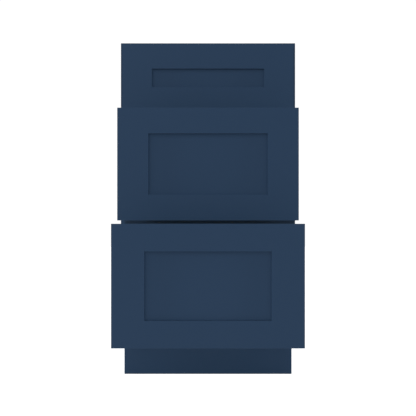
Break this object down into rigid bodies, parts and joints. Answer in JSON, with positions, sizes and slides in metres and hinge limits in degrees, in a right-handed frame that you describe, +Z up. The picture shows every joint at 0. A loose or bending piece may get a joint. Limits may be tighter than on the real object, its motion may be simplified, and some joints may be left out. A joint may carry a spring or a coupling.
{
  "type": "bathroom vanity cabinet",
  "caption": "Narrow navy bathroom vanity base with a face frame, recessed toe kick and full-overlay shaker drawers on undermount slides, open at the top for a countertop.",
  "frame": {"origin": "middle of the back's lower edge, where the wall meets the floor", "axes": "+X to the right of someone facing the drawers, +Y into the wall so -Y is the front, +Z up"},
  "size_m": [0.4572, 0.8587, 0.8763],
  "materials": {
    "navy_paint": "satin navy paint on hardwood and plywood, with a faint texture and slightly softened edges",
    "birch_ply": "clear-coated birch plywood",
    "maple": "clear-coated solid maple",
    "zinc_steel": "zinc-plated rolled steel",
    "screw_steel": "bright zinc-plated screws",
    "gray_plastic": "moulded grey plastic",
    "bumper_rubber": "soft translucent bumper"
  },
  "bodies": {
    "cabinet": {"left_side_panel": "navy_paint", "right_side_panel": "navy_paint", "bottom_panel": "birch_ply", "back_panel": "birch_ply", "left_stile": "navy_paint", "right_stile": "navy_paint", "top_rail": "navy_paint", "upper_mid_rail": "navy_paint", "lower_mid_rail": "navy_paint", "bottom_rail": "navy_paint", "toe_kick": "navy_paint", "corner_braces": "gray_plastic", "rear_brackets": "gray_plastic", "mounting_screws": "screw_steel", "top_cabinet_rails": "zinc_steel", "middle_cabinet_rails": "zinc_steel", "bottom_cabinet_rails": "zinc_steel"},
    "top_drawer": {"top_drawer_rails": "zinc_steel", "top_front_stiles": "navy_paint", "top_front_top_rail": "navy_paint", "top_front_bottom_rail": "navy_paint", "top_front_panel": "navy_paint", "top_box_left_side": "maple", "top_box_right_side": "maple", "top_box_front": "maple", "top_box_back": "maple", "top_box_bottom": "birch_ply", "top_locking_clips": "gray_plastic", "top_front_screws": "screw_steel", "top_bumpers": "bumper_rubber"},
    "middle_drawer": {"middle_drawer_rails": "zinc_steel", "middle_front_stiles": "navy_paint", "middle_front_top_rail": "navy_paint", "middle_front_bottom_rail": "navy_paint", "middle_front_panel": "navy_paint", "middle_box_left_side": "maple", "middle_box_right_side": "maple", "middle_box_front": "maple", "middle_box_back": "maple", "middle_box_bottom": "birch_ply", "middle_locking_clips": "gray_plastic", "middle_front_screws": "screw_steel", "middle_bumpers": "bumper_rubber"},
    "bottom_drawer": {"bottom_drawer_rails": "zinc_steel", "bottom_front_stiles": "navy_paint", "bottom_front_top_rail": "navy_paint", "bottom_front_bottom_rail": "navy_paint", "bottom_front_panel": "navy_paint", "bottom_box_left_side": "maple", "bottom_box_right_side": "maple", "bottom_box_front": "maple", "bottom_box_back": "maple", "bottom_box_bottom": "birch_ply", "bottom_locking_clips": "gray_plastic", "bottom_front_screws": "screw_steel", "bottom_bumpers": "bumper_rubber"},
    "top_glides": {"top_glide_rails": "zinc_steel"},
    "middle_glides": {"middle_glide_rails": "zinc_steel"},
    "bottom_glides": {"bottom_glide_rails": "zinc_steel"}
  },
  "joints": [
    {"name": "top_drawer_slide", "type": "slide", "parent": "cabinet", "child": "top_drawer", "axis": [0, -1, 0], "range_m": [0, 0.4572]},
    {"name": "middle_drawer_slide", "type": "slide", "parent": "cabinet", "child": "middle_drawer", "axis": [0, -1, 0], "range_m": [-0.1524, 0.3048]},
    {"name": "bottom_drawer_slide", "type": "slide", "parent": "cabinet", "child": "bottom_drawer", "axis": [0, -1, 0], "range_m": [-0.3048, 0.1524]},
    {"name": "top_glide_slide", "type": "slide", "parent": "cabinet", "child": "top_glides", "axis": [0, -1, 0], "range_m": [0, 0.2286]},
    {"name": "middle_glide_slide", "type": "slide", "parent": "cabinet", "child": "middle_glides", "axis": [0, -1, 0], "range_m": [-0.0762, 0.1524]},
    {"name": "bottom_glide_slide", "type": "slide", "parent": "cabinet", "child": "bottom_glides", "axis": [0, -1, 0], "range_m": [-0.1524, 0.0762]}
  ],
  "couplings": [
    {"joint": "top_glide_slide", "follows": "top_drawer_slide", "ratio": 0.5},
    {"joint": "middle_glide_slide", "follows": "middle_drawer_slide", "ratio": 0.5},
    {"joint": "bottom_glide_slide", "follows": "bottom_drawer_slide", "ratio": 0.5}
  ]
}
